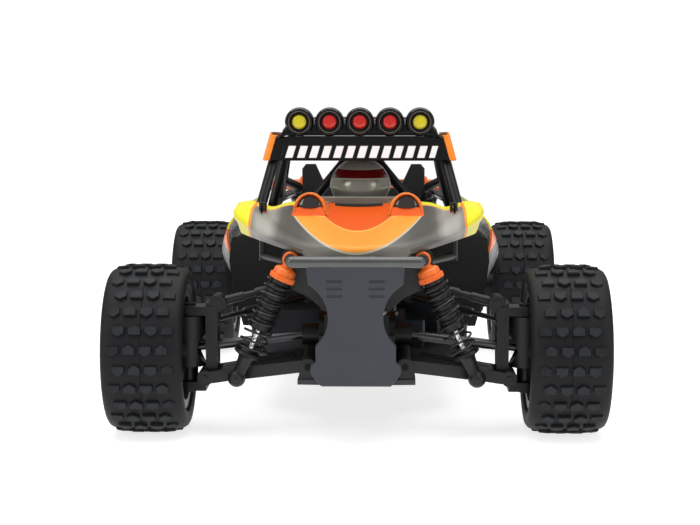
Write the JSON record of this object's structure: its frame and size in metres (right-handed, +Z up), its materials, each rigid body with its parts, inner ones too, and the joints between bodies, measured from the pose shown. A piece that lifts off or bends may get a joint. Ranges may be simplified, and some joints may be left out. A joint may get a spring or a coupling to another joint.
{
  "type": "radio-controlled buggy",
  "caption": "Electric radio-controlled desert buggy with roll cage, lamp bar, waisted bumper, knobbly tyres, sprung arms and steering front wheels.",
  "frame": {"origin": "on the ground under the middle of the car's bounding box", "axes": "-Y is the car's front, +X its left side, +Z up"},
  "size_m": [0.249, 0.395, 0.163],
  "materials": {
    "moulded_black": "moulded nylon, satin",
    "bumper_grey": "moulded nylon, fine grain",
    "tyre_rubber": "matt rubber",
    "rim_black": "satin",
    "shock_steel": "polished rod",
    "shock_cap": "ribbed cylinder with an orange cap",
    "spring_wire": "black wire",
    "driveshaft_steel": "dark steel",
    "chassis_grey": "anodised dark",
    "cage_black": "satin tube",
    "livery": "painted thin polycarbonate in orange, grey, yellow and black",
    "roof_black": "gloss",
    "lens": "translucent, yellow outer pair and red middle three",
    "helmet_silver": "silver with a dark red stripe",
    "tray_grey": "matt",
    "gear_white": "nylon gear",
    "pinion_brass": "machined",
    "motor_can": "can",
    "servo_black": "moulded",
    "battery_wrap": "heat-shrink wrap",
    "radio_blue": "moulded",
    "screw_steel": "zinc"
  },
  "bodies": {
    "chassis": {"chassis_plate": "chassis_grey", "gearbox_cases": "moulded_black", "shock_towers": "moulded_black", "front_bumper": "bumper_grey", "roll_cage": "cage_black", "body_shell": "livery", "roof_light_bar": "roof_black", "lamp_lenses": "lens", "driver_figure": "helmet_silver", "cockpit_tray": "tray_grey", "steering_servo": "servo_black", "battery_pack": "battery_wrap", "motor": "motor_can", "radio_gear": "radio_blue", "fasteners": "screw_steel"},
    "front_arm_left": {"front_arm_left": "moulded_black"},
    "front_hub_carrier_left": {"front_hub_carrier_left": "moulded_black"},
    "front_upper_link_left": {"front_upper_link_left": "moulded_black"},
    "front_shock_body_left": {"front_shock_body_left": "shock_cap", "front_spring_left": "spring_wire"},
    "front_shock_shaft_left": {"front_shock_shaft_left": "shock_steel"},
    "front_driveshaft_left": {"front_driveshaft_left": "driveshaft_steel"},
    "front_wheel_left": {"front_wheel_left": "rim_black", "front_tyre_left": "tyre_rubber"},
    "front_knuckle_left": {"front_knuckle_left": "moulded_black"},
    "front_tie_rod_left": {"front_tie_rod_left": "moulded_black"},
    "front_arm_right": {"front_arm_right": "moulded_black"},
    "front_hub_carrier_right": {"front_hub_carrier_right": "moulded_black"},
    "front_upper_link_right": {"front_upper_link_right": "moulded_black"},
    "front_shock_body_right": {"front_shock_body_right": "shock_cap", "front_spring_right": "spring_wire"},
    "front_shock_shaft_right": {"front_shock_shaft_right": "shock_steel"},
    "front_driveshaft_right": {"front_driveshaft_right": "driveshaft_steel"},
    "front_wheel_right": {"front_wheel_right": "rim_black", "front_tyre_right": "tyre_rubber"},
    "front_knuckle_right": {"front_knuckle_right": "moulded_black"},
    "front_tie_rod_right": {"front_tie_rod_right": "moulded_black"},
    "rear_arm_left": {"rear_arm_left": "moulded_black"},
    "rear_hub_carrier_left": {"rear_hub_carrier_left": "moulded_black"},
    "rear_upper_link_left": {"rear_upper_link_left": "moulded_black"},
    "rear_shock_body_left": {"rear_shock_body_left": "shock_cap", "rear_spring_left": "spring_wire"},
    "rear_shock_shaft_left": {"rear_shock_shaft_left": "shock_steel"},
    "rear_driveshaft_left": {"rear_driveshaft_left": "driveshaft_steel"},
    "rear_wheel_left": {"rear_wheel_left": "rim_black", "rear_tyre_left": "tyre_rubber"},
    "rear_arm_right": {"rear_arm_right": "moulded_black"},
    "rear_hub_carrier_right": {"rear_hub_carrier_right": "moulded_black"},
    "rear_upper_link_right": {"rear_upper_link_right": "moulded_black"},
    "rear_shock_body_right": {"rear_shock_body_right": "shock_cap", "rear_spring_right": "spring_wire"},
    "rear_shock_shaft_right": {"rear_shock_shaft_right": "shock_steel"},
    "rear_driveshaft_right": {"rear_driveshaft_right": "driveshaft_steel"},
    "rear_wheel_right": {"rear_wheel_right": "rim_black", "rear_tyre_right": "tyre_rubber"},
    "steering_crank": {"servo_saver_crank": "moulded_black"},
    "idler": {"idler_crank": "moulded_black"},
    "drag_link": {"drag_link": "moulded_black"},
    "spur": {"spur_gear": "gear_white"},
    "pinion": {"motor_pinion": "pinion_brass"}
  },
  "joints": [
    {"name": "front_arm_hinge_left", "type": "hinge", "parent": "chassis", "child": "front_arm_left", "pos_m": [0.024, -0.1375, 0.037], "axis": [0, -1, 0], "range_deg": [-10, 13], "stiffness_Nm_per_rad": 2.1, "springref_deg": -8.02},
    {"name": "front_hub_carrier_hinge_left", "type": "hinge", "parent": "front_arm_left", "child": "front_hub_carrier_left", "pos_m": [0.076, -0.1375, 0.029], "axis": [0, -1, 0], "range_deg": [-15.09, 11.61]},
    {"name": "front_upper_link_hinge_left", "type": "hinge", "parent": "chassis", "child": "front_upper_link_left", "pos_m": [0.027, -0.1375, 0.077], "axis": [0, -1, 0], "range_deg": [-12.49, 16.24]},
    {"name": "front_shock_top_hinge_left", "type": "hinge", "parent": "chassis", "child": "front_shock_body_left", "pos_m": [0.0325, -0.1565, 0.0897], "axis": [0, -1, 0], "range_deg": [-3.16, 4.1]},
    {"name": "front_shock_slide_left", "type": "slide", "parent": "front_shock_body_left", "child": "front_shock_shaft_left", "axis": [-0.415, 0, 0.9098], "range_m": [-0.00536, 0.00696], "deforming": ["front_spring_left"]},
    {"name": "front_driveshaft_hinge_left", "type": "hinge", "parent": "chassis", "child": "front_driveshaft_left", "pos_m": [0.024, -0.1375, 0.05], "axis": [0, -1, 0], "range_deg": [-8.55, 11.12]},
    {"name": "front_kingpin_left", "type": "hinge", "parent": "front_hub_carrier_left", "child": "front_knuckle_left", "pos_m": [0.085, -0.1375, 0.0427], "axis": [0, 0, 1], "range_deg": [-25.5, 25.5]},
    {"name": "front_tie_rod_hinge_left", "type": "hinge", "parent": "drag_link", "child": "front_tie_rod_left", "pos_m": [0.027, -0.089, 0.0633], "axis": [0, -1, 0], "range_deg": [-8.96, 11.65]},
    {"name": "front_wheel_spin_left", "type": "hinge", "parent": "front_knuckle_left", "child": "front_wheel_left", "pos_m": [0.1045, -0.1375, 0.0427], "axis": [1, 0, 0], "continuous": true},
    {"name": "front_arm_hinge_right", "type": "hinge", "parent": "chassis", "child": "front_arm_right", "pos_m": [-0.024, -0.1375, 0.037], "axis": [0, 1, 0], "range_deg": [-10, 13], "stiffness_Nm_per_rad": 2.1, "springref_deg": -8.02},
    {"name": "front_hub_carrier_hinge_right", "type": "hinge", "parent": "front_arm_right", "child": "front_hub_carrier_right", "pos_m": [-0.076, -0.1375, 0.029], "axis": [0, 1, 0], "range_deg": [-15.09, 11.61]},
    {"name": "front_upper_link_hinge_right", "type": "hinge", "parent": "chassis", "child": "front_upper_link_right", "pos_m": [-0.027, -0.1375, 0.077], "axis": [0, 1, 0], "range_deg": [-12.49, 16.24]},
    {"name": "front_shock_top_hinge_right", "type": "hinge", "parent": "chassis", "child": "front_shock_body_right", "pos_m": [-0.0325, -0.1565, 0.0897], "axis": [0, 1, 0], "range_deg": [-3.16, 4.1]},
    {"name": "front_shock_slide_right", "type": "slide", "parent": "front_shock_body_right", "child": "front_shock_shaft_right", "axis": [0.415, 0, 0.9098], "range_m": [-0.00536, 0.00696], "deforming": ["front_spring_right"]},
    {"name": "front_driveshaft_hinge_right", "type": "hinge", "parent": "chassis", "child": "front_driveshaft_right", "pos_m": [-0.024, -0.1375, 0.05], "axis": [0, 1, 0], "range_deg": [-8.55, 11.12]},
    {"name": "front_kingpin_right", "type": "hinge", "parent": "front_hub_carrier_right", "child": "front_knuckle_right", "pos_m": [-0.085, -0.1375, 0.0427], "axis": [0, 0, 1], "range_deg": [-25.5, 25.5]},
    {"name": "front_tie_rod_hinge_right", "type": "hinge", "parent": "drag_link", "child": "front_tie_rod_right", "pos_m": [-0.027, -0.089, 0.0633], "axis": [0, 1, 0], "range_deg": [-8.96, 11.65]},
    {"name": "front_wheel_spin_right", "type": "hinge", "parent": "front_knuckle_right", "child": "front_wheel_right", "pos_m": [-0.1045, -0.1375, 0.0427], "axis": [1, 0, 0], "continuous": true},
    {"name": "rear_arm_hinge_left", "type": "hinge", "parent": "chassis", "child": "rear_arm_left", "pos_m": [0.024, 0.1375, 0.037], "axis": [0, -1, 0], "range_deg": [-10, 13], "stiffness_Nm_per_rad": 2.1, "springref_deg": -8.02},
    {"name": "rear_hub_carrier_hinge_left", "type": "hinge", "parent": "rear_arm_left", "child": "rear_hub_carrier_left", "pos_m": [0.076, 0.1375, 0.029], "axis": [0, -1, 0], "range_deg": [-15.09, 11.61]},
    {"name": "rear_upper_link_hinge_left", "type": "hinge", "parent": "chassis", "child": "rear_upper_link_left", "pos_m": [0.027, 0.1375, 0.077], "axis": [0, -1, 0], "range_deg": [-12.49, 16.24]},
    {"name": "rear_shock_top_hinge_left", "type": "hinge", "parent": "chassis", "child": "rear_shock_body_left", "pos_m": [0.036, 0.1565, 0.118], "axis": [0, -1, 0], "range_deg": [-1.62, 2.11]},
    {"name": "rear_shock_slide_left", "type": "slide", "parent": "rear_shock_body_left", "child": "rear_shock_shaft_left", "axis": [-0.2659, 0, 0.964], "range_m": [-0.00596, 0.00775], "deforming": ["rear_spring_left"]},
    {"name": "rear_driveshaft_hinge_left", "type": "hinge", "parent": "chassis", "child": "rear_driveshaft_left", "pos_m": [0.024, 0.1375, 0.05], "axis": [0, -1, 0], "range_deg": [-8.55, 11.12]},
    {"name": "rear_wheel_spin_left", "type": "hinge", "parent": "rear_hub_carrier_left", "child": "rear_wheel_left", "pos_m": [0.1045, 0.1375, 0.0427], "axis": [1, 0, 0], "continuous": true},
    {"name": "rear_arm_hinge_right", "type": "hinge", "parent": "chassis", "child": "rear_arm_right", "pos_m": [-0.024, 0.1375, 0.037], "axis": [0, 1, 0], "range_deg": [-10, 13], "stiffness_Nm_per_rad": 2.1, "springref_deg": -8.02},
    {"name": "rear_hub_carrier_hinge_right", "type": "hinge", "parent": "rear_arm_right", "child": "rear_hub_carrier_right", "pos_m": [-0.076, 0.1375, 0.029], "axis": [0, 1, 0], "range_deg": [-15.09, 11.61]},
    {"name": "rear_upper_link_hinge_right", "type": "hinge", "parent": "chassis", "child": "rear_upper_link_right", "pos_m": [-0.027, 0.1375, 0.077], "axis": [0, 1, 0], "range_deg": [-12.49, 16.24]},
    {"name": "rear_shock_top_hinge_right", "type": "hinge", "parent": "chassis", "child": "rear_shock_body_right", "pos_m": [-0.036, 0.1565, 0.118], "axis": [0, 1, 0], "range_deg": [-1.62, 2.11]},
    {"name": "rear_shock_slide_right", "type": "slide", "parent": "rear_shock_body_right", "child": "rear_shock_shaft_right", "axis": [0.2659, 0, 0.964], "range_m": [-0.00596, 0.00775], "deforming": ["rear_spring_right"]},
    {"name": "rear_driveshaft_hinge_right", "type": "hinge", "parent": "chassis", "child": "rear_driveshaft_right", "pos_m": [-0.024, 0.1375, 0.05], "axis": [0, 1, 0], "range_deg": [-8.55, 11.12]},
    {"name": "rear_wheel_spin_right", "type": "hinge", "parent": "rear_hub_carrier_right", "child": "rear_wheel_right", "pos_m": [-0.1045, 0.1375, 0.0427], "axis": [1, 0, 0], "continuous": true},
    {"name": "steering_crank", "type": "hinge", "parent": "chassis", "child": "steering_crank", "pos_m": [0.015, -0.1, 0.06], "axis": [0, 0, 1], "range_deg": [-25, 25]},
    {"name": "idler_crank", "type": "hinge", "parent": "chassis", "child": "idler", "pos_m": [-0.015, -0.1, 0.06], "axis": [0, 0, 1], "range_deg": [-25.5, 25.5]},
    {"name": "drag_link_hinge", "type": "hinge", "parent": "steering_crank", "child": "drag_link", "pos_m": [0.015, -0.084, 0.0633], "axis": [0, 0, 1], "range_deg": [-25.5, 25.5]},
    {"name": "spur_spin", "type": "hinge", "parent": "chassis", "child": "spur", "pos_m": [0, 0.0485, 0.05], "axis": [0, 1, 0], "continuous": true},
    {"name": "pinion_spin", "type": "hinge", "parent": "chassis", "child": "pinion", "pos_m": [0.0248, 0.0485, 0.05], "axis": [0, 1, 0], "continuous": true}
  ],
  "couplings": [
    {"joint": "front_hub_carrier_hinge_left", "follows": "front_arm_hinge_left", "ratio": -1.1381},
    {"joint": "front_upper_link_hinge_left", "follows": "front_arm_hinge_left", "ratio": 1.2249},
    {"joint": "front_shock_top_hinge_left", "follows": "front_arm_hinge_left", "ratio": 0.3094},
    {"joint": "front_shock_slide_left", "follows": "front_arm_hinge_left", "m_per_rad": 0.030088},
    {"joint": "front_driveshaft_hinge_left", "follows": "front_arm_hinge_left", "ratio": 0.8382},
    {"joint": "front_kingpin_left", "follows": "steering_crank", "ratio": 1},
    {"joint": "front_tie_rod_hinge_left", "follows": "front_arm_hinge_left", "ratio": 0.8788},
    {"joint": "front_hub_carrier_hinge_right", "follows": "front_arm_hinge_right", "ratio": -1.1381},
    {"joint": "front_upper_link_hinge_right", "follows": "front_arm_hinge_right", "ratio": 1.2249},
    {"joint": "front_shock_top_hinge_right", "follows": "front_arm_hinge_right", "ratio": 0.3094},
    {"joint": "front_shock_slide_right", "follows": "front_arm_hinge_right", "m_per_rad": 0.030088},
    {"joint": "front_driveshaft_hinge_right", "follows": "front_arm_hinge_right", "ratio": 0.8382},
    {"joint": "front_kingpin_right", "follows": "steering_crank", "ratio": 1},
    {"joint": "front_tie_rod_hinge_right", "follows": "front_arm_hinge_right", "ratio": 0.8788},
    {"joint": "rear_hub_carrier_hinge_left", "follows": "rear_arm_hinge_left", "ratio": -1.1381},
    {"joint": "rear_upper_link_hinge_left", "follows": "rear_arm_hinge_left", "ratio": 1.2249},
    {"joint": "rear_shock_top_hinge_left", "follows": "rear_arm_hinge_left", "ratio": 0.1592},
    {"joint": "rear_shock_slide_left", "follows": "rear_arm_hinge_left", "m_per_rad": 0.0335},
    {"joint": "rear_driveshaft_hinge_left", "follows": "rear_arm_hinge_left", "ratio": 0.8382},
    {"joint": "rear_hub_carrier_hinge_right", "follows": "rear_arm_hinge_right", "ratio": -1.1381},
    {"joint": "rear_upper_link_hinge_right", "follows": "rear_arm_hinge_right", "ratio": 1.2249},
    {"joint": "rear_shock_top_hinge_right", "follows": "rear_arm_hinge_right", "ratio": 0.1592},
    {"joint": "rear_shock_slide_right", "follows": "rear_arm_hinge_right", "m_per_rad": 0.0335},
    {"joint": "rear_driveshaft_hinge_right", "follows": "rear_arm_hinge_right", "ratio": 0.8382},
    {"joint": "idler_crank", "follows": "steering_crank", "ratio": 1},
    {"joint": "drag_link_hinge", "follows": "steering_crank", "ratio": -1},
    {"joint": "pinion_spin", "follows": "spur_spin", "ratio": -2.4444}
  ]
}
